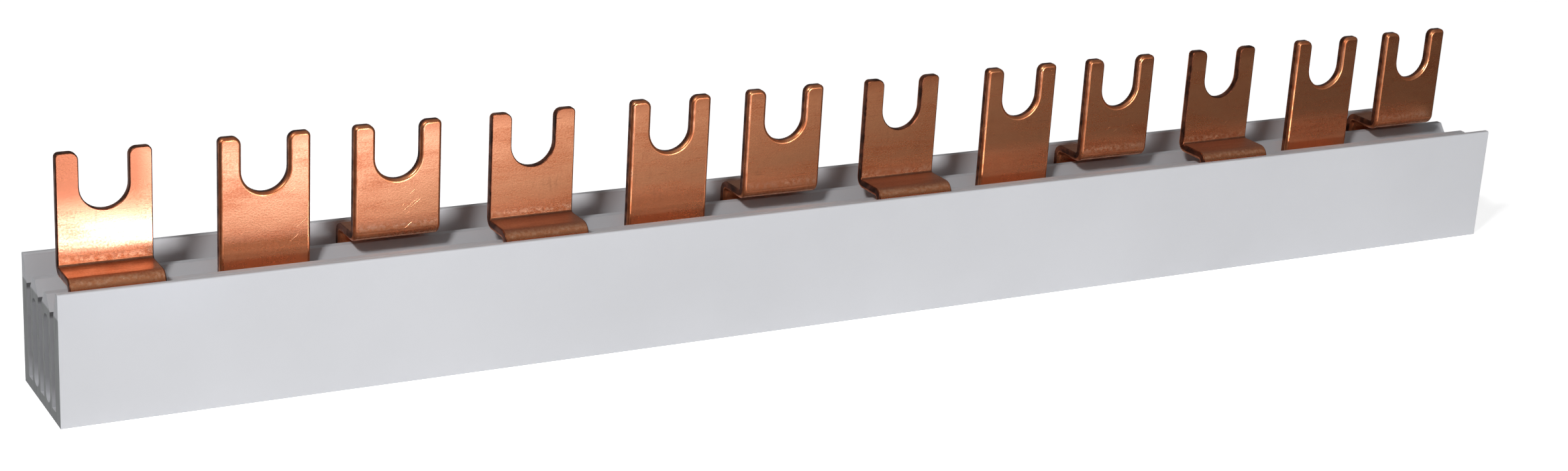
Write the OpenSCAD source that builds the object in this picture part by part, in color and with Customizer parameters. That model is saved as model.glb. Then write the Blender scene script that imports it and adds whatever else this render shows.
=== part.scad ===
// Three-phase comb busbar with fork terminals, for a row of miniature circuit breakers.
// Three stamped copper bars stand in the slots of one extruded plastic profile.
// The front and rear bars step sideways above the ribs, so all the forks share one plane.
// X runs along the row, Y from the front wall to the rear wall, and Z up.
// The origin lies under the middle of the profile, on the face that it rests on.

/* [Row of modules] */
// Number of breaker modules along the row
modules = 12; // [3:1:24]
// Width of one breaker module, which is the pitch of the forks
module_pitch = 17.8; // [17:0.1:19]

/* [Insulating profile] */
// Depth of the profile, front wall to rear wall
profile_d = 16; // [15:0.5:20]
// Height of the front and rear walls
profile_h = 16.2; // [15:0.1:20]
// Thickness of the floor under the bars
floor_t = 1.3; // [1:0.1:2]
// Thickness of an outer wall beside its slot
wall_t = 2; // [1.6:0.1:2.4]
// Thickness of an outer wall at its top edge
lip_t = 0.9; // [0.7:0.1:1.4]
// Rounding of an outer wall's top corners
lip_r = 0.25; // [0.1:0.05:0.3]
// Depth of the slots' mouths below the walls' top
mouth_drop = 3.2; // [2.6:0.1:4]
// Depth of the ribs' crests below the walls' top
crest_drop = 1.5; // [1:0.1:2]
// Width of a rib's flat crest
crest_w = 0.9; // [0.5:0.1:1.4]
// Thickness of the walls of the hollow ribs
rib_wall = 0.8; // [0.6:0.1:1]
// Clearance between a bar and each side of its slot
slot_gap = 0.2; // [0.1:0.05:0.3]

/* [Copper bars] */
// Thickness of the copper
bar_t = 1.2; // [1:0.1:1.5]
// Height of the strip that joins a bar's forks
strip_h = 9; // [6:0.5:10]
// Distance from each end of the profile to the end of a bar that stands centred
end_gap = 3; // [2:0.5:5]
// How far the front, middle and rear bars have slid along their slots
bar_slide = [-1.3, 0, -1.2]; // [-1.8:0.1:1.8]
// Inner radius of the bends
bend_r = 0.3; // [0.2:0.05:0.8]
// Clearance between the ribs' crests and the ledges that cross them
ledge_gap = 0.9; // [0.5:0.1:2]

/* [Forks] */
// Height of the fork tips above the profile's walls
fork_rise = 14.2; // [12:0.1:18]
// Width of a fork
fork_w = 11.2; // [10:0.1:12.5]
// Width of the slot that takes the terminal screw
jaw_w = 5.8; // [5.2:0.1:6.5]
// Depth of the screw slot, tip to the bottom of its round end
jaw_depth = 7.1; // [5:0.1:9]
// Corner radius at a prong's tip, on the side of the screw slot
tip_inner_r = 1; // [0.6:0.1:1.4]
// Corner radius at a prong's tip, on the outside
tip_outer_r = 0.6; // [0.3:0.1:0.8]

/* [Hidden] */

$fn = 48;
// Phases in the profile, each with its own bar
phases = 3;
// Overlap that keeps cuts and joins clear of shared faces
eps = 0.01;

profile_l = modules * module_pitch;
slot_w = bar_t + 2 * slot_gap;
// Distance between neighbouring slots
slot_pitch = profile_d / 2 - wall_t - slot_w / 2;
mouth_z = profile_h - mouth_drop;
crest_z = profile_h - crest_drop;
rib_w = slot_pitch - slot_w;
cell_w = rib_w - 2 * rib_wall;

bar_l = profile_l - 2 * end_gap;
// Underside of the ledges
ledge_z = crest_z + ledge_gap;
// Heights where the lower bend starts and the upper bend ends
stem_top = ledge_z - bend_r;
blade_bottom = ledge_z + bar_t + bend_r;
tip_z = profile_h + fork_rise;
jaw_z = tip_z - jaw_depth + jaw_w / 2;

profile_colour = [0.82, 0.82, 0.84];
copper_colour = [0.72, 0.43, 0.28];

// Middle of the module with this number, counted from 0
function module_x(number) = (number + 0.5) * module_pitch - profile_l / 2;

// Carries a section drawn in Y and Z along X
module along_x(length) {
    rotate([90, 0, 90])
        linear_extrude(height = length, center = true)
            children();
}

// Gives an outline drawn in X and Z the thickness of the copper
module as_copper() {
    rotate([90, 0, 0])
        linear_extrude(height = bar_t, center = true)
            children();
}

// Front wall in section: thick beside its slot, tapering to a lip with rounded corners
module wall_section() {
    lip_bottom = profile_h - lip_r;
    translate([-profile_d / 2, 0]) {
        polygon([[0, 0], [wall_t, 0], [wall_t, mouth_z], [lip_t, lip_bottom], [0, lip_bottom]]);
        translate([lip_r, lip_bottom - eps])
            square([lip_t - 2 * lip_r, lip_r + eps]);
        for (corner = [lip_r, lip_t - lip_r])
            translate([corner, lip_bottom])
                circle(lip_r);
    }
}

// Rib between two slots in section, with a roof-shaped crest over a closed cell
module rib_section() {
    half = rib_w / 2;
    cell_r = cell_w / 2;
    cell_bottom = floor_t + cell_r;
    cell_top = mouth_z - rib_wall - cell_r;
    difference() {
        polygon([[-half, 0], [half, 0], [half, mouth_z], [crest_w / 2, crest_z], [-crest_w / 2, crest_z],
                 [-half, mouth_z]]);
        translate([-cell_r, cell_bottom])
            square([cell_w, cell_top - cell_bottom]);
        for (height = [cell_bottom, cell_top])
            translate([0, height])
                circle(cell_r);
    }
}

// The extruded profile, sawn square at both ends
module insulating_profile() {
    color(profile_colour)
        along_x(profile_l)
            union() {
                translate([-profile_d / 2, 0])
                    square([profile_d, floor_t]);
                for (side = [0, 1])
                    mirror([side, 0]) {
                        wall_section();
                        translate([-slot_pitch / 2, 0])
                            rib_section();
                    }
            }
}

// What a rounded corner takes off a square one, for a corner at the origin that points to +X and +Z
module corner_trim(radius) {
    translate([-radius, -radius])
        difference() {
            square(radius + eps);
            circle(radius);
        }
}

// Outline of a fork from a given height to its tips
module fork_outline(bottom) {
    difference() {
        translate([-fork_w / 2, bottom])
            square([fork_w, tip_z - bottom]);
        translate([0, jaw_z])
            circle(jaw_w / 2);
        translate([-jaw_w / 2, jaw_z])
            square([jaw_w, tip_z - jaw_z + eps]);
        for (side = [0, 1])
            mirror([side, 0]) {
                translate([fork_w / 2, tip_z])
                    corner_trim(tip_outer_r);
                translate([jaw_w / 2, tip_z])
                    mirror([1, 0])
                        corner_trim(tip_inner_r);
            }
    }
}

// Outline of the strip with a stem at each of the bar's modules
module strip_outline(phase, top) {
    translate([-bar_l / 2, floor_t])
        square([bar_l, strip_h]);
    for (number = [phase : phases : modules - 1])
        translate([module_x(number) - fork_w / 2, floor_t])
            square([fork_w, top - floor_t]);
}

// Quarter of a bend, from the -Y side of its centre round to the +Z side
module bend_section() {
    intersection() {
        difference() {
            circle(bend_r + bar_t);
            circle(bend_r);
        }
        translate([-bend_r - bar_t - eps, 0])
            square(bend_r + bar_t + eps);
    }
}

// Step from a stem up and across to the plane of the forks, which lies one slot further to +Y
module ledge_section() {
    reach = slot_pitch - bar_t - 2 * bend_r;
    translate([bar_t / 2 + bend_r, stem_top]) {
        bend_section();
        translate([0, bend_r])
            square([reach, bar_t]);
        translate([reach, 2 * bend_r + bar_t])
            rotate(180)
                bend_section();
    }
}

// Bar that stands in the slot in front of the forks' plane and steps back to it
module stepped_bar(phase) {
    translate([0, -slot_pitch, 0]) {
        as_copper()
            strip_outline(phase, stem_top);
        for (number = [phase : phases : modules - 1])
            translate([module_x(number), 0, 0])
                along_x(fork_w)
                    ledge_section();
    }
    for (number = [phase : phases : modules - 1])
        translate([module_x(number), 0, 0])
            as_copper()
                fork_outline(blade_bottom);
}

// Bar of the first phase, in the front slot
module front_bar() {
    color(copper_colour)
        translate([bar_slide[0], 0, 0])
            stepped_bar(0);
}

// Bar of the second phase, flat, in the middle slot
module middle_bar() {
    color(copper_colour)
        translate([bar_slide[1], 0, 0])
            as_copper() {
                strip_outline(1, blade_bottom);
                for (number = [1 : phases : modules - 1])
                    translate([module_x(number), 0])
                        fork_outline(blade_bottom - eps);
            }
}

// Bar of the third phase, in the rear slot: the front bar's form, turned to face it
module rear_bar() {
    color(copper_colour)
        translate([bar_slide[2], 0, 0])
            mirror([0, 1, 0])
                stepped_bar(2);
}

insulating_profile();
front_bar();
middle_bar();
rear_bar();
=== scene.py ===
"""Comb busbar with fork terminals: copper combs in a light grey extruded profile, on a plain pale stage."""
import math

import bmesh
import bpy
from mathutils import Matrix, Vector


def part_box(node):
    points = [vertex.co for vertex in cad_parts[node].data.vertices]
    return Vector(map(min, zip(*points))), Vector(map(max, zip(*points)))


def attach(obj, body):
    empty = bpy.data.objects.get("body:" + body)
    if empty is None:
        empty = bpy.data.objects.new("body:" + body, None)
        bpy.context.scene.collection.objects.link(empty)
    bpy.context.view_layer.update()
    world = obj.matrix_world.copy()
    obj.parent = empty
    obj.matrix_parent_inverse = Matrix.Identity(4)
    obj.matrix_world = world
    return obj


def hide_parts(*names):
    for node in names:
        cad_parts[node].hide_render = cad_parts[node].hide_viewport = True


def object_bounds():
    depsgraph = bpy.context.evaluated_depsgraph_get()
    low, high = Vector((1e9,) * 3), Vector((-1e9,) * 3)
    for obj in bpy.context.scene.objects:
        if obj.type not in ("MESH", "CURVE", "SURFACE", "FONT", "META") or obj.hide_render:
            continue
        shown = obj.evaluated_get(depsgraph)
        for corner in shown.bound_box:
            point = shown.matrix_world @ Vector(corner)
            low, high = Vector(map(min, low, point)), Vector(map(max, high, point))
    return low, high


bl_info = {
    "name": "Comb Busbar",
    "version": (1, 0, 0),
    "blender": (4, 5, 0),
    "location": "View3D > Sidebar > Busbar",
    "description": "Dresses a three-phase comb busbar with fork terminals and sets its stage",
    "category": "Object",
}

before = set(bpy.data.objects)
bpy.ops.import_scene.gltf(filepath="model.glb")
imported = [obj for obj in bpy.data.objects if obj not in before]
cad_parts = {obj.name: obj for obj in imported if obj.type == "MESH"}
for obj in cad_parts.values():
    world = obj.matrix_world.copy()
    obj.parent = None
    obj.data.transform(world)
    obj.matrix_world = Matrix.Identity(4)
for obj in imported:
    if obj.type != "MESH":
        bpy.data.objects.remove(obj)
CAD_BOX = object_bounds()

# Lengths are in metres, and MM is one millimetre
MM = 0.001
WHITE = (1.0, 1.0, 1.0, 1.0)
PROFILE = "insulating_profile"
PROFILE_LOW, PROFILE_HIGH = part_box(PROFILE)

# Each comb's node, the side of the strip that its ledges show on top, and the side that the punch entered
FRONT, BACK, NEITHER = -1, 1, 0
COMBS = {"front_comb": ("front_bar", FRONT, BACK), "middle_comb": ("middle_bar", NEITHER, FRONT),
         "rear_comb": ("rear_bar", BACK, FRONT)}
# Order of the materials on a comb
SHEET, SHEARED, ROLLED = 0, 1, 2
# Least turn between two faces that makes the edge between them a stamped one
STAMPED_ANGLE = math.radians(50)
# Turns that are taken as flat when the triangles are joined, and as smooth when the faces are shaded
FLAT_ANGLE = math.radians(1)
SMOOTH_ANGLE = math.radians(35)
# Share of a normal along an axis, above which the face counts as turned that way
TURNED = 0.1
ROUNDING_STEPS = 4
MERGE_DISTANCE = 0.001 * MM

# The photograph's width and its focal length, both in pixels
PHOTO_WIDTH = 2367
PHOTO_FOCAL = 4071
SENSOR_MM = 36.0
CLIP_START = 0.01

# Height of the slots' mouths in the profile
SLOT_MOUTH = 13.0 * MM
# Heights of the ledges' faces, with a margin for finding their edges
LEDGE_BOTTOM = 15.6 * MM
LEDGE_TOP = 16.8 * MM
LEDGE_MARGIN = 0.1 * MM
# Height of the crease where a blade rises from its ledge, and where above the ledge the shade painted in it
# begins and ends
CREASE_HEIGHT = 0.3 * MM
SHADE_BEGINS = (0.01 * MM, 0.04 * MM)
SHADE_ENDS = (CREASE_HEIGHT, 1.3 * CREASE_HEIGHT)
# Middle of the band that the bending die rubs on the blades, just above the bends
DIE_MARK_MIDDLE = 17.45 * MM
# Height of the prongs' tips, and the reach of the tarnish below them
PRONG_TIP = CAD_BOX[1][2]
TIP_TARNISH = 2.4 * MM
# X just past the fork at the left end, where the shade painted on its prongs stops, with the length over
# which it fades
END_FORK = -92.5 * MM
END_FORK_FADE = 3 * MM
# Depths below the tips between which the shade painted on the end fork's prongs grows to its full strength
END_SHADE_START = 10 * MM
END_SHADE_FULL = 5 * MM
# Heights about the profile's top between which the film on the strip grows to its full strength
SHIELDED_BELOW = 1.2 * MM
OPEN_ABOVE = 0.3 * MM
# Length past the end fork over which the dust on the ledges grows thicker
DUST_GROWTH = 30 * MM

# Length of a rolling streak over its width, and length and width of a film patch and of the drawn grain
STREAK_STRETCH = 12.0
FILM_PATCH = (9 * MM, 2.8 * MM)
GRAIN = (0.26 * MM, 0.2 * MM)
# Breadth of the places that were handled, of the specks on rubbed copper and of the patches on its edges
HANDLED_PLACE = 8 * MM
SPECK = 0.45 * MM
EDGE_PATCH = 1.4 * MM
# Shares of the streaks and of the patches in the film, next to a full share of the grain
STREAK_SHARE = 0.6
PATCH_SHARE = 1.6
# Width of a smear over the width of a scratch, and a shift that parts the two patterns
SMEAR_SPREAD = 2.5
SMEAR_SHIFT = (0.3, 0.1, 0.7)
FRESH_SCRATCH_SLANT = math.radians(38)
# Roughness that a full cover of dust or dirt adds
DULLING = 0.4
# Depth of the grain and of the fresh scratches
GRAIN_DEPTH = 0.02 * MM
SCRATCH_DEPTH = 0.05 * MM

# Width of a die line on the plastic, its length over its width, and the breadth of the cloudy places
DIE_LINE = 0.8 * MM
DIE_LINE_STRETCH = 60
CLOUD = 25 * MM
# Height of a saw mark over its width, and the depth of the die lines and saw marks
SAW_MARK_STRETCH = 9
PLASTIC_DEPTH = 0.1 * MM
PVC_IOR = 1.53
# Least share of X in the normal of a sawn end, and the height over which its dull face, darkened with painted
# shade, fades above the mouths
SAWN_FACING = 0.9
CUT_FADE = 0.3 * MM
# Depths below the mouths between which the shade painted on the channels' sides thickens, and heights between
# which it begins
MOUTH_SHADE = (0.9 * MM, 0.5 * MM)
SIDE_SHADE = (2.2 * MM, 4.0 * MM)
# Margins that keep the painted shade off the profile's outside and off the slots' edges
OUTSIDE_MARGIN = 0.1 * MM
MOUTH_MARGIN = 0.05 * MM

# Painted light that metal's reflections see on the paper: a dim level in front, a brighter one from this
# distance behind, and painted pools of light, each with its middle, its reach along X and Y, the power of its
# fall and its strength
DIM_SHEEN = 0.03
REAR_SHEEN = 0.4
REAR_DISTANCE = 0.08
SHEEN_POOLS = (((-0.056, -0.108, 0.0), (0.040, 0.020), 1.0, 10.3),
               ((-0.090, -0.088, 0.0), (0.018, 0.024), 2.0, -1.35))
# The brightest that the painted light on the paper gets, and the tint of its bright places
SHEEN_LIMIT = 5.0
POOL_TINT = (0.9, 1.05, 1.5, 1.0)
PAPER = "#F4F4F4"
PAPER_GLOW = 0.75
FLOOR_SIZE = 6.0

# Each lamp's place, the point that it faces, and its width and height
LAMP_TARGET = (0.0, 0.0, 0.02)
KEY_LAMP = ((0.16, -0.9, 0.072), LAMP_TARGET, (0.3, 0.134))
SIDE_LAMP = ((-0.40, -0.295, 0.47), LAMP_TARGET, (0.085, 0.085))
GLARE_LAMP = ((-0.0885, -0.040, 0.0055), (-0.0992, -0.0006, 0.020), (0.018, 0.005))
REAR_PANEL = ((0.127, 0.196, 0.0002), (0.127, 0.196, 1.0), (0.466, 0.408))
GLARE_SPREAD = math.radians(30)
GLARE_TINT = (0.6, 0.7, 1.0)


def linear(hex_colour):
    """Linear red, green and blue of an sRGB hex colour."""
    channels = [int(hex_colour[i:i + 2], 16) / 255 for i in (1, 3, 5)]
    return tuple(c / 12.92 if c <= 0.04045 else ((c + 0.055) / 1.055) ** 2.4 for c in channels)


def opaque(colour):
    """A colour with full alpha, as a colour socket takes it."""
    return (*colour[:3], 1.0)


def drawn_out(length, width):
    """Mapping scale of a pattern whose marks have this length along X and this width across it."""
    return (1 / length, 1 / width, 1 / width)


def add(tree, kind, inputs=None, **settings):
    """Adds a node, sets its properties, and fills or links its inputs."""
    node = tree.nodes.new(kind)
    for name, value in settings.items():
        setattr(node, name, value)
    for name, value in (inputs or {}).items():
        if isinstance(value, bpy.types.NodeSocket):
            tree.links.new(value, node.inputs[name])
        else:
            node.inputs[name].default_value = value
    return node


def new_material(name):
    """An empty node material with this name, and its node tree."""
    material = bpy.data.materials.new(name)
    material.use_nodes = True
    material.node_tree.nodes.clear()
    return material, material.node_tree


class CopperSettings(bpy.types.PropertyGroup):
    """Finish of the stamped combs"""

    edge_round: bpy.props.FloatProperty(
        name="Edge rounding", description="Radius of the stamped edges on the side that the punch entered",
        default=0.42 * MM, min=0.05 * MM, max=0.6 * MM, unit='LENGTH', precision=5)
    burr_round: bpy.props.FloatProperty(
        name="Burr rounding", description="Radius of the stamped edges on the other side, where the burr was",
        default=0.15 * MM, min=0.05 * MM, max=0.5 * MM, unit='LENGTH', precision=5)
    metal: bpy.props.FloatVectorProperty(
        name="Copper", description="Colour of the clean rolled face", subtype='COLOR', size=3,
        min=0.0, max=1.0, default=linear("#EE9F71"))
    tarnish: bpy.props.FloatVectorProperty(
        name="Tarnish", description="Colour of the brown film in the streaks", subtype='COLOR', size=3,
        min=0.0, max=1.0, default=linear("#BE6E48"))
    worn: bpy.props.FloatVectorProperty(
        name="Worn copper", description="Colour of rubbed bends and fresh scratches", subtype='COLOR', size=3,
        min=0.0, max=1.0, default=linear("#F6B892"))
    # Grime is also the lighter colour of the shade painted on the sheared sides
    grime_and_shade: bpy.props.FloatVectorProperty(
        name="Grime_and_shade", description="Colour of the dark scratches and smears", subtype='COLOR', size=3,
        min=0.0, max=1.0, default=linear("#9A5A3F"))
    dust: bpy.props.FloatVectorProperty(
        name="Dust", description="Colour of the dusty ledges", subtype='COLOR', size=3,
        min=0.0, max=1.0, default=linear("#7C5C4C"))
    # Painted shade: a dark colour laid in the creases and on the sheared sides
    painted_shade: bpy.props.FloatVectorProperty(
        name="Painted_shade", description="Colour of the dirt in the creases", subtype='COLOR', size=3,
        min=0.0, max=1.0, default=linear("#4A2A1E"))
    streak_spacing: bpy.props.FloatProperty(
        name="Streak spacing", description="Distance between the rolling streaks",
        default=0.45 * MM, min=0.1 * MM, max=2 * MM, unit='LENGTH', precision=5)
    die_mark: bpy.props.FloatProperty(
        name="Die mark", description="Width of the rubbed band above a bend",
        default=1.3 * MM, min=0.2 * MM, max=4 * MM, unit='LENGTH', precision=5)
    scratch_length: bpy.props.FloatProperty(
        name="Scratch length", description="Typical length of a scratch",
        default=3 * MM, min=0.5 * MM, max=10 * MM, unit='LENGTH', precision=5)
    scratch_width: bpy.props.FloatProperty(
        name="Scratch width", description="Typical width of a scratch, drawn wide enough to show",
        default=0.16 * MM, min=0.05 * MM, max=0.5 * MM, unit='LENGTH', precision=5)


class PlasticSettings(bpy.types.PropertyGroup):
    """Finish of the extruded profile"""

    skin: bpy.props.FloatVectorProperty(
        name="Skin", description="Colour of the smooth extruded skin", subtype='COLOR', size=3,
        min=0.0, max=1.0, default=linear("#D0D1D5"))
    # The sawn ends' dark colour is partly painted shade
    sawn: bpy.props.FloatVectorProperty(
        name="Sawn end", description="Colour of the sawn ends", subtype='COLOR', size=3,
        min=0.0, max=1.0, default=linear("#9FA1A2"))
    saw_mark: bpy.props.FloatProperty(
        name="Saw mark", description="Distance between the marks of the saw's teeth",
        default=0.6 * MM, min=0.2 * MM, max=2 * MM, unit='LENGTH', precision=5)
    # How far behind the cut the shade is painted on the channels' sides
    shade_reach: bpy.props.FloatProperty(
        name="Dust reach", description="How far behind the cut the channels' sides are dusty",
        default=1.3 * MM, min=0.0, max=3 * MM, unit='LENGTH', precision=5)


class StageSettings(bpy.types.PropertyGroup):
    """Camera and light"""

    place: bpy.props.FloatVectorProperty(
        name="Camera place", description="Where the camera stands", subtype='XYZ', size=3, unit='LENGTH',
        default=(-178.23 * MM, -292.92 * MM, 123.02 * MM))
    yaw: bpy.props.FloatProperty(
        name="Yaw", description="Turn of the camera about the vertical", subtype='ANGLE',
        default=math.radians(-30.03))
    pitch: bpy.props.FloatProperty(
        name="Pitch", description="Tilt of the camera above the horizon", subtype='ANGLE',
        default=math.radians(-18.48))
    roll: bpy.props.FloatProperty(
        name="Roll", description="Turn of the camera about its own view", subtype='ANGLE',
        default=math.radians(3.575))
    key_power: bpy.props.FloatProperty(
        name="Key power", description="Power of the low soft lamp in front, in watts", default=4.15, min=0.0)
    side_power: bpy.props.FloatProperty(
        name="Side power", description="Power of the small lamp on the left, in watts", default=1.9, min=0.0)
    glare_power: bpy.props.FloatProperty(
        name="Glare power", description="Power of the tiny lamp at the first fork, in watts", default=0.00016,
        min=0.0, precision=5)
    panel_power: bpy.props.FloatProperty(
        name="Panel power", description="Power of the light panel that lies behind, in watts", default=0.7,
        min=0.0)
    room: bpy.props.FloatProperty(
        name="Room light", description="Strength of the even light from all round", default=0.13, min=0.0)
    horizon: bpy.props.FloatProperty(
        name="Horizon", description="Strength of the horizon that metal mirrors", default=0.16, min=0.0)
    ceiling: bpy.props.FloatProperty(
        name="Ceiling", description="Strength of the ceiling that metal mirrors", default=0.42, min=0.0)


def rolled_pattern(settings, tree, place):
    """Pattern that is low where film lies on rolled strip, and the soft patches and the grain in it.

    The mill leaves long faint streaks along X, and the film lies in soft patches a few millimetres across.
    The grain of the rolls is finer than this on the real strip, and is drawn coarse enough to show.
    """
    spacing = settings.streak_spacing
    along = add(tree, 'ShaderNodeMapping', {'Vector': place,
                                            'Scale': drawn_out(spacing * STREAK_STRETCH, spacing)})
    streaks = add(tree, 'ShaderNodeTexNoise', {'Vector': along.outputs['Vector'], 'Scale': 1.0, 'Detail': 4.0,
                                               'Roughness': 0.6})
    drawn = add(tree, 'ShaderNodeMapping', {'Vector': place, 'Scale': drawn_out(*FILM_PATCH)})
    patches = add(tree, 'ShaderNodeTexNoise', {'Vector': drawn.outputs['Vector'], 'Scale': 1.0, 'Detail': 5.0,
                                               'Roughness': 0.6}).outputs['Fac']
    grit = add(tree, 'ShaderNodeMapping', {'Vector': place, 'Scale': drawn_out(*GRAIN)})
    grain = add(tree, 'ShaderNodeTexNoise', {'Vector': grit.outputs['Vector'], 'Scale': 1.0,
                                             'Detail': 2.0}).outputs['Fac']
    rough_film = add(tree, 'ShaderNodeMath', {0: streaks.outputs['Fac'], 1: STREAK_SHARE, 2: grain},
                     operation='MULTIPLY_ADD')
    film = add(tree, 'ShaderNodeMath', {0: patches, 1: PATCH_SHARE, 2: rough_film.outputs['Value']},
               operation='MULTIPLY_ADD')
    return film.outputs['Value'], patches, grain


def film_and_end_fork_shade(tree, film, patches, spot):
    """How much tarnish colour covers the copper: film, most on the prongs' tips, and painted shade on the end
    fork's prongs.

    There is none where the profile shields the strip.
    """
    height = spot.outputs['Z']
    amount = add(tree, 'ShaderNodeMapRange', {'Value': film, 'From Min': 1.2, 'From Max': 1.85,
                                              'To Min': 1.0, 'To Max': 0.0})
    ragged = add(tree, 'ShaderNodeMath', {0: patches, 1: -TIP_TARNISH, 2: height}, operation='MULTIPLY_ADD')
    tip = add(tree, 'ShaderNodeMapRange', {'Value': ragged.outputs['Value'],
                                           'From Min': PRONG_TIP - 1.5 * TIP_TARNISH,
                                           'From Max': PRONG_TIP - 0.4 * TIP_TARNISH})
    # Painted shade: the end fork's prongs are darkened with the tarnish colour
    last = add(tree, 'ShaderNodeMapRange', {'Value': spot.outputs['X'], 'From Min': END_FORK - END_FORK_FADE,
                                            'From Max': END_FORK, 'To Min': 1.0, 'To Max': 0.0})
    upper = add(tree, 'ShaderNodeMapRange', {'Value': height, 'From Min': PRONG_TIP - END_SHADE_START,
                                             'From Max': PRONG_TIP - END_SHADE_FULL})
    end_fork_shade = add(tree, 'ShaderNodeMath', {0: last.outputs['Result'], 1: upper.outputs['Result']},
                   operation='MULTIPLY')
    brown = add(tree, 'ShaderNodeMath', {0: tip.outputs['Result'], 1: end_fork_shade.outputs['Value']},
                operation='MAXIMUM')
    bared = add(tree, 'ShaderNodeMapRange', {'Value': height, 'From Min': PROFILE_HIGH[2] - SHIELDED_BELOW,
                                             'From Max': PROFILE_HIGH[2] + OPEN_ABOVE})
    open_film = add(tree, 'ShaderNodeMath', {0: amount.outputs['Result'], 1: bared.outputs['Result']},
                    operation='MULTIPLY')
    return add(tree, 'ShaderNodeMath', {0: open_film.outputs['Value'], 1: brown.outputs['Value']},
               operation='MAXIMUM').outputs['Value']


def handling_grime(settings, tree, place, handled):
    """Short dark scratches along the strip and faint smears across it, where the strip was handled most."""
    length, width = settings.scratch_length, settings.scratch_width
    level = add(tree, 'ShaderNodeMapping', {'Vector': place, 'Scale': drawn_out(length, width)})
    scores = add(tree, 'ShaderNodeTexNoise', {'Vector': level.outputs['Vector'], 'Scale': 1.0, 'Detail': 1.0})
    scored = add(tree, 'ShaderNodeMapRange', {'Value': scores.outputs['Fac'], 'From Min': 0.7,
                                              'From Max': 0.8})
    upright = add(tree, 'ShaderNodeMapping', {'Vector': place, 'Location': SMEAR_SHIFT,
                                              'Scale': drawn_out(SMEAR_SPREAD * width, length)})
    smears = add(tree, 'ShaderNodeTexNoise', {'Vector': upright.outputs['Vector'], 'Scale': 1.0,
                                              'Detail': 3.0})
    smeared = add(tree, 'ShaderNodeMapRange', {'Value': smears.outputs['Fac'], 'From Min': 0.55,
                                               'From Max': 0.75, 'To Max': 0.4})
    either = add(tree, 'ShaderNodeMath', {0: scored.outputs['Result'], 1: smeared.outputs['Result']},
                 operation='MAXIMUM')
    where = add(tree, 'ShaderNodeMapRange', {'Value': handled, 'From Min': 0.44, 'From Max': 0.65,
                                             'To Max': 0.8})
    return add(tree, 'ShaderNodeMath', {0: either.outputs['Value'], 1: where.outputs['Result']},
               operation='MULTIPLY').outputs['Value']


def fresh_scratches(settings, tree, place, handled):
    """A few scratches that run aslant and shine, where the strip was handled least."""
    turned = add(tree, 'ShaderNodeMapping', {'Vector': place, 'Rotation': (0.0, FRESH_SCRATCH_SLANT, 0.0)})
    aslant = add(tree, 'ShaderNodeMapping', {'Vector': turned.outputs['Vector'],
                                             'Scale': drawn_out(settings.scratch_length,
                                                                settings.scratch_width)})
    fresh = add(tree, 'ShaderNodeTexNoise', {'Vector': aslant.outputs['Vector'], 'Scale': 1.0, 'Detail': 0.0})
    scraped = add(tree, 'ShaderNodeMapRange', {'Value': fresh.outputs['Fac'], 'From Min': 0.74,
                                               'From Max': 0.81})
    spared = add(tree, 'ShaderNodeMapRange', {'Value': handled, 'From Min': 0.4, 'From Max': 0.3})
    return add(tree, 'ShaderNodeMath', {0: scraped.outputs['Result'], 1: spared.outputs['Result']},
               operation='MULTIPLY').outputs['Value']


def rubbed_places(settings, tree, place, height, facing, bent):
    """Bends that are rubbed bright in specks: their normals lie between the faces' directions.

    On bent strip the die has also rubbed a bright speckled band above the bend.
    """
    slope = add(tree, 'ShaderNodeMath', {0: facing.outputs['Y'], 1: facing.outputs['Z']},
                operation='MULTIPLY')
    bend = add(tree, 'ShaderNodeMath', {0: slope.outputs['Value']}, operation='ABSOLUTE')
    specks = add(tree, 'ShaderNodeTexNoise', {'Vector': place, 'Scale': 1 / SPECK,
                                              'Detail': 3.0}).outputs['Fac']
    rubbed = add(tree, 'ShaderNodeMath', {0: bend.outputs['Value'], 1: specks}, operation='MULTIPLY')
    wear = add(tree, 'ShaderNodeMapRange', {'Value': rubbed.outputs['Value'], 'From Min': 0.2,
                                            'From Max': 0.34}).outputs['Result']
    if not bent:
        return wear
    above = add(tree, 'ShaderNodeMath', {0: height, 1: DIE_MARK_MIDDLE}, operation='SUBTRACT')
    off = add(tree, 'ShaderNodeMath', {0: above.outputs['Value']}, operation='ABSOLUTE')
    band = add(tree, 'ShaderNodeMapRange', {'Value': off.outputs['Value'], 'From Min': settings.die_mark / 2,
                                            'From Max': 0.0})
    gritty = add(tree, 'ShaderNodeMapRange', {'Value': specks, 'From Min': 0.42, 'From Max': 0.6})
    die = add(tree, 'ShaderNodeMath', {0: band.outputs['Result'], 1: gritty.outputs['Result']},
              operation='MULTIPLY')
    return add(tree, 'ShaderNodeMath', {0: wear, 1: die.outputs['Value']},
               operation='MAXIMUM').outputs['Value']


def ledge_dust(tree, spot, facing):
    """Dust that lies on the ledges, though there is less of it on the end fork's ledge."""
    upward = add(tree, 'ShaderNodeMapRange', {'Value': facing.outputs['Z'], 'From Min': 0.6,
                                              'From Max': 0.95})
    cover = add(tree, 'ShaderNodeMapRange', {'Value': spot.outputs['X'], 'From Min': END_FORK,
                                             'From Max': END_FORK + DUST_GROWTH,
                                             'To Min': 0.3, 'To Max': 0.7})
    return add(tree, 'ShaderNodeMath', {0: upward.outputs['Result'], 1: cover.outputs['Result']},
               operation='MULTIPLY').outputs['Value']


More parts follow.
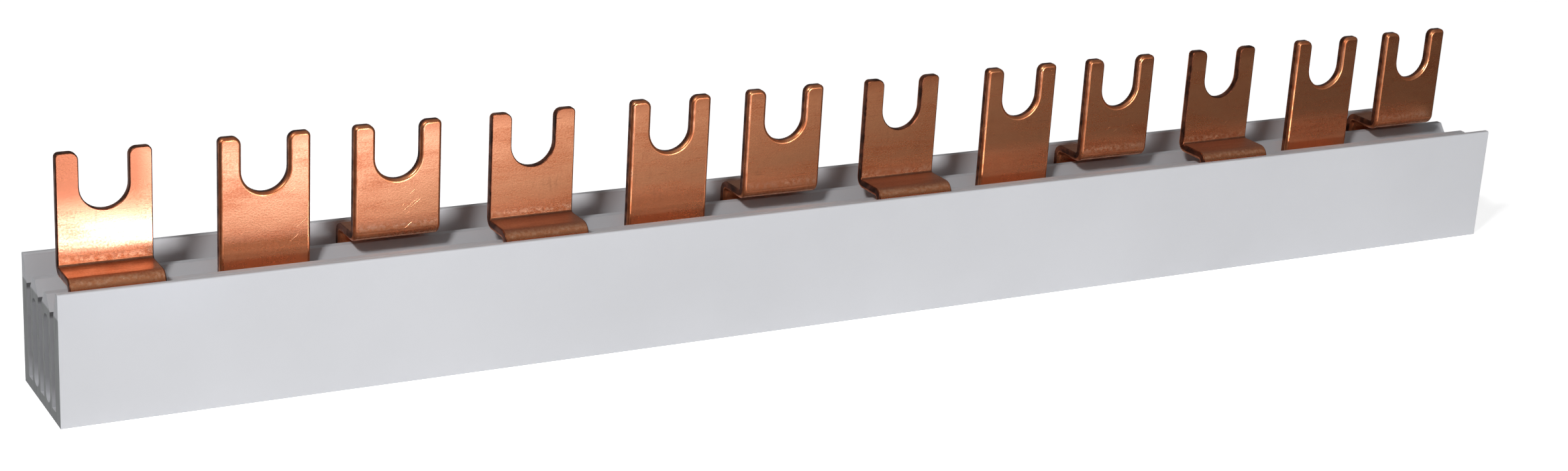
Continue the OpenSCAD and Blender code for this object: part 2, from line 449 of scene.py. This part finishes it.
def painted_crease_shade(tree, height, facing):
    """Painted shade in the crease where a blade rises from its ledge."""
    off_ledge = add(tree, 'ShaderNodeMapRange', {'Value': height, 'From Min': LEDGE_TOP + SHADE_BEGINS[0],
                                                 'From Max': LEDGE_TOP + SHADE_BEGINS[1]})
    below_blade = add(tree, 'ShaderNodeMapRange', {'Value': height, 'From Min': LEDGE_TOP + SHADE_ENDS[0],
                                                   'From Max': LEDGE_TOP + SHADE_ENDS[1],
                                                   'To Min': 1.0, 'To Max': 0.0})
    hollow = add(tree, 'ShaderNodeMapRange', {'Value': facing.outputs['Z'], 'From Min': 0.02,
                                              'From Max': 0.15, 'To Max': 0.85})
    zone = add(tree, 'ShaderNodeMath', {0: off_ledge.outputs['Result'], 1: below_blade.outputs['Result']},
               operation='MULTIPLY')
    return add(tree, 'ShaderNodeMath', {0: zone.outputs['Value'], 1: hollow.outputs['Result']},
               operation='MULTIPLY').outputs['Value']


def copper_sheet(settings, name, bent):
    """Rolled copper strip, bare and handled: warm satin metal with a fine grain, brown film and scratches."""
    material, tree = new_material(name)
    place = add(tree, 'ShaderNodeTexCoord').outputs['Object']
    spot = add(tree, 'ShaderNodeSeparateXYZ', {'Vector': place})
    height = spot.outputs['Z']
    normal = add(tree, 'ShaderNodeNewGeometry').outputs['Normal']
    facing = add(tree, 'ShaderNodeSeparateXYZ', {'Vector': normal})
    handled = add(tree, 'ShaderNodeTexNoise', {'Vector': place, 'Scale': 1 / HANDLED_PLACE,
                                               'Detail': 2.0}).outputs['Fac']
    film, patches, grain = rolled_pattern(settings, tree, place)
    filmed_and_shaded = film_and_end_fork_shade(tree, film, patches, spot)
    grimy = handling_grime(settings, tree, place, handled)
    shining = fresh_scratches(settings, tree, place, handled)
    rubbed = rubbed_places(settings, tree, place, height, facing, bent)
    bare = add(tree, 'ShaderNodeMath', {0: rubbed, 1: shining}, operation='MAXIMUM').outputs['Value']
    dusty = ledge_dust(tree, spot, facing)
    crease_shade = painted_crease_shade(tree, height, facing)
    # Each layer lies over the one before it; the film layer also holds the shade painted on the end fork's
    # prongs, and the last layer is the shade painted in the creases
    colour = opaque(settings.metal)
    for amount, layer in ((filmed_and_shaded, settings.tarnish), (grimy, settings.grime_and_shade), (bare, settings.worn),
                          (dusty, settings.dust), (crease_shade, settings.painted_shade)):
        colour = add(tree, 'ShaderNodeMix', {'Factor': amount, 'A': colour, 'B': opaque(layer)},
                     data_type='RGBA').outputs['Result']
    # Film, dust and the painted crease shade dull the metal
    sheen = add(tree, 'ShaderNodeMapRange', {'Value': film, 'From Min': 1.3, 'From Max': 1.95,
                                             'To Min': 0.29, 'To Max': 0.2})
    settled = add(tree, 'ShaderNodeMath', {0: dusty, 1: crease_shade}, operation='MAXIMUM')
    gloss = add(tree, 'ShaderNodeMath', {0: settled.outputs['Value'], 1: DULLING, 2: sheen.outputs['Result']},
                operation='MULTIPLY_ADD')
    # The grain bends the reflections a little, and the fresh scratches catch the light
    relief = add(tree, 'ShaderNodeBump', {'Height': grain, 'Strength': 0.3, 'Distance': GRAIN_DEPTH})
    grooves = add(tree, 'ShaderNodeBump', {'Height': shining, 'Strength': 0.4, 'Distance': SCRATCH_DEPTH,
                                           'Normal': relief.outputs['Normal']})
    shader = add(tree, 'ShaderNodeBsdfPrincipled', {'Base Color': colour, 'Metallic': 0.9,
                                                    'Roughness': gloss.outputs['Value'],
                                                    'Normal': grooves.outputs['Normal']})
    add(tree, 'ShaderNodeOutputMaterial', {'Surface': shader.outputs['BSDF']})
    return material


def copper_edge(name, bright, dark):
    """Stamped copper edge: smooth and bright in some places, and dull and dark in the patches in between."""
    material, tree = new_material(name)
    place = add(tree, 'ShaderNodeTexCoord').outputs['Object']
    patches = add(tree, 'ShaderNodeTexNoise', {'Vector': place, 'Scale': 1 / EDGE_PATCH, 'Detail': 4.0})
    soiled = add(tree, 'ShaderNodeMapRange', {'Value': patches.outputs['Fac'], 'From Min': 0.3,
                                              'From Max': 0.64})
    colour = add(tree, 'ShaderNodeMix', {'Factor': soiled.outputs['Result'], 'A': opaque(bright),
                                         'B': opaque(dark)}, data_type='RGBA')
    gloss = add(tree, 'ShaderNodeMapRange', {'Value': soiled.outputs['Result'], 'To Min': 0.26,
                                             'To Max': 0.45})
    shader = add(tree, 'ShaderNodeBsdfPrincipled', {'Base Color': colour.outputs['Result'], 'Metallic': 1.0,
                                                    'Roughness': gloss.outputs['Result']})
    add(tree, 'ShaderNodeOutputMaterial', {'Surface': shader.outputs['BSDF']})
    return material


def channel_shade(settings, tree, across, end):
    """Painted shade on the channels' sides behind the cut: darkest at their mouths, and none on their floors.
    """
    height = across.outputs['Z']
    close = add(tree, 'ShaderNodeMath', {0: across.outputs['X'], 1: PROFILE_HIGH[0] - settings.shade_reach},
                operation='GREATER_THAN')
    inner = add(tree, 'ShaderNodeMath', {0: across.outputs['Y'], 1: PROFILE_HIGH[1] - OUTSIDE_MARGIN},
                operation='LESS_THAN')
    side = add(tree, 'ShaderNodeMath', {0: 1.0, 1: end}, operation='SUBTRACT')
    channel = add(tree, 'ShaderNodeMath', {0: height, 1: SLOT_MOUTH - MOUTH_MARGIN}, operation='LESS_THAN')
    mouth = add(tree, 'ShaderNodeMapRange', {'Value': height, 'From Min': SLOT_MOUTH - MOUTH_SHADE[0],
                                             'From Max': SLOT_MOUTH - MOUTH_SHADE[1],
                                             'To Min': 0.3, 'To Max': 0.75})
    raised = add(tree, 'ShaderNodeMapRange', {'Value': height, 'From Min': SIDE_SHADE[0],
                                              'From Max': SIDE_SHADE[1]})
    # The amount of painted shade, thickening towards the mouths, with none near the floors
    dust = add(tree, 'ShaderNodeMath', {0: mouth.outputs['Result'], 1: raised.outputs['Result']},
               operation='MULTIPLY').outputs['Value']
    for limit in (close, inner, side, channel):
        dust = add(tree, 'ShaderNodeMath', {0: dust, 1: limit.outputs['Value']},
                   operation='MULTIPLY').outputs['Value']
    return dust


def extruded_pvc(settings):
    """Rigid PVC, extruded and sawn: a satin skin with faint die lines, dull ends with saw marks, and painted
    shade on the ends and in the channels.
    """
    material, tree = new_material("extruded_pvc")
    place = add(tree, 'ShaderNodeTexCoord').outputs['Object']
    along = add(tree, 'ShaderNodeMapping', {'Vector': place,
                                            'Scale': drawn_out(DIE_LINE * DIE_LINE_STRETCH, DIE_LINE)})
    lines = add(tree, 'ShaderNodeTexNoise', {'Vector': along.outputs['Vector'], 'Scale': 1.0, 'Detail': 3.0})
    clouds = add(tree, 'ShaderNodeTexNoise', {'Vector': place, 'Scale': 1 / CLOUD, 'Detail': 4.0})
    # The teeth move up and down the end faces, so the marks are stretched along Z
    mark = settings.saw_mark
    upright = add(tree, 'ShaderNodeMapping', {'Vector': place, 'Scale': (1 / mark, 1 / mark,
                                                                       1 / (mark * SAW_MARK_STRETCH))})
    marks = add(tree, 'ShaderNodeTexNoise', {'Vector': upright.outputs['Vector'], 'Scale': 1.0, 'Detail': 4.0,
                                             'Roughness': 0.6})
    # Both ends are alike, and so are the front and the back: only distances from the middle count
    normal = add(tree, 'ShaderNodeNewGeometry').outputs['True Normal']
    turned = add(tree, 'ShaderNodeVectorMath', {0: normal}, operation='ABSOLUTE')
    facing = add(tree, 'ShaderNodeSeparateXYZ', {'Vector': turned.outputs['Vector']})
    distance = add(tree, 'ShaderNodeVectorMath', {0: place}, operation='ABSOLUTE')
    across = add(tree, 'ShaderNodeSeparateXYZ', {'Vector': distance.outputs['Vector']})
    # The cut is dull, and darkened with painted shade, up to the slots' mouths
    end = add(tree, 'ShaderNodeMath', {0: facing.outputs['X'], 1: SAWN_FACING},
              operation='GREATER_THAN').outputs['Value']
    below = add(tree, 'ShaderNodeMapRange', {'Value': across.outputs['Z'], 'From Min': SLOT_MOUTH,
                                             'From Max': SLOT_MOUTH + CUT_FADE, 'To Min': 1.0, 'To Max': 0.0})
    cut = add(tree, 'ShaderNodeMath', {0: end, 1: below.outputs['Result']},
              operation='MULTIPLY').outputs['Value']
    # Painted shade darkens the channels' sides behind the cut
    dust = channel_shade(settings, tree, across, end)
    shadow = add(tree, 'ShaderNodeMath', {0: 1.0, 1: dust}, operation='SUBTRACT')
    cloudy = add(tree, 'ShaderNodeMapRange', {'Value': clouds.outputs['Fac'], 'From Min': 0.3,
                                              'From Max': 0.7, 'To Min': 0.96, 'To Max': 1.03})
    skin = add(tree, 'ShaderNodeMix', {'Factor': 1.0, 'A': opaque(settings.skin),
                                       'B': cloudy.outputs['Result']},
               data_type='RGBA', blend_type='MULTIPLY')
    scored = add(tree, 'ShaderNodeMapRange', {'Value': marks.outputs['Fac'], 'From Min': 0.3, 'From Max': 0.7,
                                              'To Min': 0.82, 'To Max': 1.12})
    sawn = add(tree, 'ShaderNodeMix', {'Factor': 1.0, 'A': opaque(settings.sawn),
                                       'B': scored.outputs['Result']},
               data_type='RGBA', blend_type='MULTIPLY')
    clean = add(tree, 'ShaderNodeMix', {'Factor': cut, 'A': skin.outputs['Result'],
                                        'B': sawn.outputs['Result']}, data_type='RGBA')
    colour = add(tree, 'ShaderNodeMix', {'Factor': 1.0, 'A': clean.outputs['Result'],
                                         'B': shadow.outputs['Value']},
                 data_type='RGBA', blend_type='MULTIPLY')
    gloss = add(tree, 'ShaderNodeMapRange', {'Value': cut, 'To Min': 0.55, 'To Max': 0.8})
    height = add(tree, 'ShaderNodeMix', {'Factor': cut, 'A': lines.outputs['Fac'], 'B': marks.outputs['Fac']},
                 data_type='FLOAT')
    depth = add(tree, 'ShaderNodeMapRange', {'Value': end, 'To Min': 0.04, 'To Max': 0.5})
    relief = add(tree, 'ShaderNodeBump', {'Height': height.outputs['Result'],
                                          'Strength': depth.outputs['Result'], 'Distance': PLASTIC_DEPTH})
    shader = add(tree, 'ShaderNodeBsdfPrincipled', {'Base Color': colour.outputs['Result'],
                                                    'Roughness': gloss.outputs['Result'], 'IOR': PVC_IOR,
                                                    'Normal': relief.outputs['Normal']})
    add(tree, 'ShaderNodeOutputMaterial', {'Surface': shader.outputs['BSDF']})
    return material


def select_only(piece):
    """Makes this object the only selected one, and the active one."""
    bpy.ops.object.select_all(action='DESELECT')
    piece.select_set(True)
    bpy.context.view_layer.objects.active = piece


class BUSBAR_OT_dress_profile(bpy.types.Operator):
    """Gives the extruded profile its plastic"""

    bl_idname = "busbar.dress_profile"
    bl_label = "Dress Profile"

    def execute(self, context):
        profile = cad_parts[PROFILE]
        plastic = extruded_pvc(context.scene.busbar_plastic)
        for slot in profile.material_slots:
            slot.material = plastic
        return {'FINISHED'}


def side_of(normal, ledge_side):
    """The side of the strip that a face with this normal lies on."""
    if abs(normal.y) > TURNED:
        return FRONT if normal.y < 0 else BACK
    return ledge_side if normal.z > 0 else -ledge_side


def mark_edges(mesh, ledge_side, punched, burr_share):
    """Weighs the stamped edges for the rounding: fully on the punched side, and less on the burr side."""
    form = bmesh.new()
    form.from_mesh(mesh)
    weight = form.edges.layers.float.new("bevel_weight_edge")
    for edge in form.edges:
        if len(edge.link_faces) < 2 or edge.calc_face_angle() < STAMPED_ANGLE:
            continue
        # The broad face beside an edge looks to the front or the back, or on a ledge up or down
        normals = [face.normal for face in edge.link_faces]
        broad = max(normals, key=lambda normal: abs(normal.y))
        if abs(broad.y) < TURNED:
            height = (edge.verts[0].co.z + edge.verts[1].co.z) / 2
            if not LEDGE_BOTTOM - LEDGE_MARGIN < height < LEDGE_TOP + LEDGE_MARGIN:
                continue
            broad = max(normals, key=lambda normal: abs(normal.z))
        edge[weight] = 1.0 if side_of(broad, ledge_side) == punched else burr_share
    form.to_mesh(mesh)
    form.free()


def sort_faces(mesh, ledge_side, punched):
    """Gives the rounded edges of the punched side and the sheared sides of the strip their own materials."""
    for face in mesh.polygons:
        broad = abs(face.normal.y) > TURNED
        on_ledge = abs(face.normal.x) < TURNED and face.center.z < LEDGE_TOP + CREASE_HEIGHT
        if face.material_index == SHEARED and side_of(face.normal, ledge_side) == punched:
            face.material_index = ROLLED
        elif face.material_index == SHEET and not broad and not on_ledge:
            face.material_index = SHEARED


def round_edges(comb, settings, ledge_side, punched):
    """Joins a comb's triangles to flat faces, rounds its stamped edges and shades it smooth."""
    select_only(comb)
    bpy.ops.object.mode_set(mode='EDIT')
    bpy.ops.mesh.select_all(action='SELECT')
    bpy.ops.mesh.remove_doubles(threshold=MERGE_DISTANCE)
    bpy.ops.mesh.customdata_custom_splitnormals_clear()
    bpy.ops.mesh.dissolve_limited(angle_limit=FLAT_ANGLE)
    bpy.ops.object.mode_set(mode='OBJECT')
    mark_edges(comb.data, ledge_side, punched, settings.burr_round / settings.edge_round)
    bpy.ops.object.modifier_add(type='BEVEL')
    rounding = comb.modifiers[-1]
    rounding.width = settings.edge_round
    rounding.segments = ROUNDING_STEPS
    rounding.limit_method = 'WEIGHT'
    rounding.use_clamp_overlap = False
    rounding.material = SHEARED
    bpy.ops.object.modifier_apply(modifier=rounding.name)
    sort_faces(comb.data, ledge_side, punched)
    bpy.ops.object.shade_smooth_by_angle(angle=SMOOTH_ANGLE)
    bpy.ops.object.modifier_add(type='WEIGHTED_NORMAL')
    flat = comb.modifiers[-1]
    flat.keep_sharp = True
    bpy.ops.object.modifier_apply(modifier=flat.name)


class BUSBAR_OT_finish_combs(bpy.types.Operator):
    """Rounds the stamped edges of the three copper combs and gives them their metal"""

    bl_idname = "busbar.finish_combs"
    bl_label = "Finish Combs"

    def execute(self, context):
        settings = context.scene.busbar_copper
        flat_sheet = copper_sheet(settings, "rolled_copper", False)
        bent_sheet = copper_sheet(settings, "rolled_and_bent_copper", True)
        # The sheared sides and burr edges are painted dark with shade, in grime and the painted shade colour
        sheared = copper_edge("shaded_sheared_copper_edge", settings.grime_and_shade, settings.painted_shade)
        rolled = copper_edge("rounded_copper_edge", settings.metal, settings.tarnish)
        for name, (node, ledge_side, punched) in COMBS.items():
            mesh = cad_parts[node].data.copy()
            comb = bpy.data.objects.new(name, mesh)
            context.scene.collection.objects.link(comb)
            mesh.materials.clear()
            for metal in (flat_sheet if ledge_side == NEITHER else bent_sheet, sheared, rolled):
                mesh.materials.append(metal)
            round_edges(comb, settings, ledge_side, punched)
            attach(comb, "root")
            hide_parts(node)
        return {'FINISHED'}


def floor_paper():
    """Matt white paper with a soft shadow: metal's reflections see painted light on it, in a pool and behind
    the busbar.
    """
    material, tree = new_material("white_paper")
    ray = add(tree, 'ShaderNodeLightPath')
    matt = add(tree, 'ShaderNodeBsdfDiffuse', {'Color': opaque(linear(PAPER))})
    glow = add(tree, 'ShaderNodeEmission', {'Color': WHITE, 'Strength': PAPER_GLOW})
    lit = add(tree, 'ShaderNodeAddShader', {0: matt.outputs['BSDF'], 1: glow.outputs['Emission']})
    seen = add(tree, 'ShaderNodeMixShader', {'Fac': ray.outputs['Is Camera Ray'], 1: matt.outputs['BSDF'],
                                             2: lit.outputs['Shader']})
    place = add(tree, 'ShaderNodeTexCoord').outputs['Object']
    # Reflections see painted light on the paper, brighter behind the busbar than in front
    depth = add(tree, 'ShaderNodeSeparateXYZ', {'Vector': place}).outputs['Y']
    level = add(tree, 'ShaderNodeMapRange', {'Value': depth, 'From Min': 0.0, 'From Max': REAR_DISTANCE,
                                             'To Min': DIM_SHEEN, 'To Max': REAR_SHEEN}).outputs['Result']
    # A broad painted pool of light lies in front of the left forks, with a painted darker place beside it
    for spot, (reach_x, reach_y), power, strength in SHEEN_POOLS:
        offset = add(tree, 'ShaderNodeVectorMath', {0: place, 1: spot}, operation='SUBTRACT')
        away = add(tree, 'ShaderNodeVectorMath', {0: offset.outputs['Vector']}, operation='ABSOLUTE')
        ratio = add(tree, 'ShaderNodeVectorMath', {0: away.outputs['Vector'],
                                                   1: (1 / reach_x, 1 / reach_y, 0.0)},
                    operation='DOT_PRODUCT')
        fading = add(tree, 'ShaderNodeMath', {0: ratio.outputs['Value'], 1: power}, operation='POWER')
        fall = add(tree, 'ShaderNodeMath', {0: fading.outputs['Value'], 1: -1.0}, operation='MULTIPLY')
        near = add(tree, 'ShaderNodeMath', {0: fall.outputs['Value']}, operation='EXPONENT')
        level = add(tree, 'ShaderNodeMath', {0: near.outputs['Value'], 1: strength, 2: level},
                    operation='MULTIPLY_ADD').outputs['Value']
    level = add(tree, 'ShaderNodeMath', {0: level, 1: SHEEN_LIMIT}, operation='MINIMUM').outputs['Value']
    # The painted pool is tinted cool, so the brightest metal goes pale
    daylight = add(tree, 'ShaderNodeMapRange', {'Value': level, 'From Min': 0.4, 'From Max': 2.5})
    tint = add(tree, 'ShaderNodeMix', {'Factor': daylight.outputs['Result'], 'A': WHITE, 'B': POOL_TINT},
               data_type='RGBA')
    sheen = add(tree, 'ShaderNodeEmission', {'Color': tint.outputs['Result'], 'Strength': level})
    mirrored = add(tree, 'ShaderNodeMixShader', {'Fac': ray.outputs['Is Glossy Ray'],
                                                 1: seen.outputs['Shader'], 2: sheen.outputs['Emission']})
    add(tree, 'ShaderNodeOutputMaterial', {'Surface': mirrored.outputs['Shader']})
    return material


def lay_floor():
    """Lays a wide sheet of paper under the busbar."""
    bpy.ops.object.select_all(action='DESELECT')
    bpy.ops.mesh.primitive_plane_add(size=FLOOR_SIZE, location=(0.0, 0.0, PROFILE_LOW[2]))
    floor = bpy.context.object
    floor.name = "floor"
    floor.data.materials.append(floor_paper())


def soft_lamp(name, placing, power):
    """A soft lamp at its place, turned to the point that it faces, and wide and high as given."""
    place, target, (width, height) = placing
    bpy.ops.object.select_all(action='DESELECT')
    bpy.ops.object.light_add(type='AREA', location=place)
    lamp = bpy.context.object
    lamp.name = name
    lamp.data.shape = 'RECTANGLE'
    lamp.data.size = width
    lamp.data.size_y = height
    lamp.data.energy = power
    lamp.rotation_euler = (Vector(target) - Vector(place)).to_track_quat('-Z', 'Y').to_euler()
    return lamp


def set_lamps(settings):
    """Sets a low lamp in front, a small one on the left, a glare at the first fork and a panel behind."""
    soft_lamp("key_lamp", KEY_LAMP, settings.key_power)
    soft_lamp("side_lamp", SIDE_LAMP, settings.side_power)
    # A tiny cool lamp low in front throws a glare on the first fork's blade, and on nothing else
    glare = soft_lamp("glare_lamp", GLARE_LAMP, settings.glare_power)
    glare.data.spread = GLARE_SPREAD
    glare.data.color = GLARE_TINT
    glare.visible_camera = False
    glare.visible_diffuse = False
    # A light panel lies on the paper behind the busbar and lights its back and its right end
    panel = soft_lamp("rear_panel", REAR_PANEL, settings.panel_power)
    panel.visible_camera = False
    panel.visible_glossy = False


def studio_room(settings):
    """A white room with even light: metal sees a dim horizon under a paler ceiling, and less on the right."""
    world = bpy.data.worlds.new("studio_room")
    world.use_nodes = True
    tree = world.node_tree
    tree.nodes.clear()
    ray = add(tree, 'ShaderNodeLightPath')
    room = add(tree, 'ShaderNodeBackground', {'Color': WHITE, 'Strength': settings.room})
    white = add(tree, 'ShaderNodeBackground', {'Color': WHITE, 'Strength': 1.0})
    heading = add(tree, 'ShaderNodeTexCoord').outputs['Generated']
    toward = add(tree, 'ShaderNodeSeparateXYZ', {'Vector': heading})
    ceiling = add(tree, 'ShaderNodeMapRange', {'Value': toward.outputs['Z'], 'To Min': settings.horizon,
                                               'To Max': settings.ceiling})
    right = add(tree, 'ShaderNodeMapRange', {'Value': toward.outputs['X'], 'From Min': 0.2, 'From Max': 0.55,
                                             'To Min': 1.0, 'To Max': 0.6})
    level = add(tree, 'ShaderNodeMath', {0: ceiling.outputs['Result'], 1: right.outputs['Result']},
                operation='MULTIPLY')
    mirrored = add(tree, 'ShaderNodeBackground', {'Color': WHITE, 'Strength': level.outputs['Value']})
    around = add(tree, 'ShaderNodeMixShader', {'Fac': ray.outputs['Is Glossy Ray'],
                                               1: room.outputs['Background'],
                                               2: mirrored.outputs['Background']})
    seen = add(tree, 'ShaderNodeMixShader', {'Fac': ray.outputs['Is Camera Ray'], 1: around.outputs['Shader'],
                                             2: white.outputs['Background']})
    add(tree, 'ShaderNodeOutputWorld', {'Surface': seen.outputs['Shader']})
    return world


def place_camera(settings):
    """A camera at the photograph's viewing angle, with its field of view."""
    turn = (Matrix.Rotation(settings.yaw, 4, 'Z') @ Matrix.Rotation(math.pi / 2 + settings.pitch, 4, 'X')
            @ Matrix.Rotation(settings.roll, 4, 'Z'))
    bpy.ops.object.select_all(action='DESELECT')
    bpy.ops.object.camera_add(location=settings.place, rotation=turn.to_euler())
    camera = bpy.context.object
    camera.data.sensor_width = SENSOR_MM
    camera.data.sensor_fit = 'HORIZONTAL'
    camera.data.lens = SENSOR_MM * PHOTO_FOCAL / PHOTO_WIDTH
    camera.data.clip_start = CLIP_START
    return camera


class BUSBAR_OT_set_stage(bpy.types.Operator):
    """Lays the floor, sets the lamps and the room light, and places the camera"""

    bl_idname = "busbar.set_stage"
    bl_label = "Set Stage"

    def execute(self, context):
        settings = context.scene.busbar_stage
        lay_floor()
        set_lamps(settings)
        context.scene.world = studio_room(settings)
        context.scene.camera = place_camera(settings)
        context.scene.view_settings.view_transform = 'Standard'
        return {'FINISHED'}


class BUSBAR_PT_sidebar(bpy.types.Panel):
    """Lists the busbar's pieces and its stage"""

    bl_idname = "BUSBAR_PT_sidebar"
    bl_label = "Comb Busbar"
    bl_space_type = 'VIEW_3D'
    bl_region_type = 'UI'
    bl_category = "Busbar"

    def draw(self, context):
        layout = self.layout
        for group, operator in (("busbar_plastic", "busbar.dress_profile"),
                                ("busbar_copper", "busbar.finish_combs"),
                                ("busbar_stage", "busbar.set_stage")):
            box = layout.box()
            settings = getattr(context.scene, group)
            for name in settings.bl_rna.properties.keys():
                if name not in ("rna_type", "name"):
                    box.prop(settings, name)
            box.operator(operator)


GROUPS = {"busbar_plastic": PlasticSettings, "busbar_copper": CopperSettings, "busbar_stage": StageSettings}
CLASSES = (PlasticSettings, CopperSettings, StageSettings, BUSBAR_OT_dress_profile, BUSBAR_OT_finish_combs,
           BUSBAR_OT_set_stage, BUSBAR_PT_sidebar)


def register():
    for cls in CLASSES:
        bpy.utils.register_class(cls)
    for name, group in GROUPS.items():
        setattr(bpy.types.Scene, name, bpy.props.PointerProperty(type=group))


def unregister():
    for name in GROUPS:
        delattr(bpy.types.Scene, name)
    for cls in reversed(CLASSES):
        bpy.utils.unregister_class(cls)


def main():
    register()
    bpy.ops.busbar.dress_profile()
    bpy.ops.busbar.finish_combs()
    bpy.ops.busbar.set_stage()


if __name__ == "__main__":
    main()
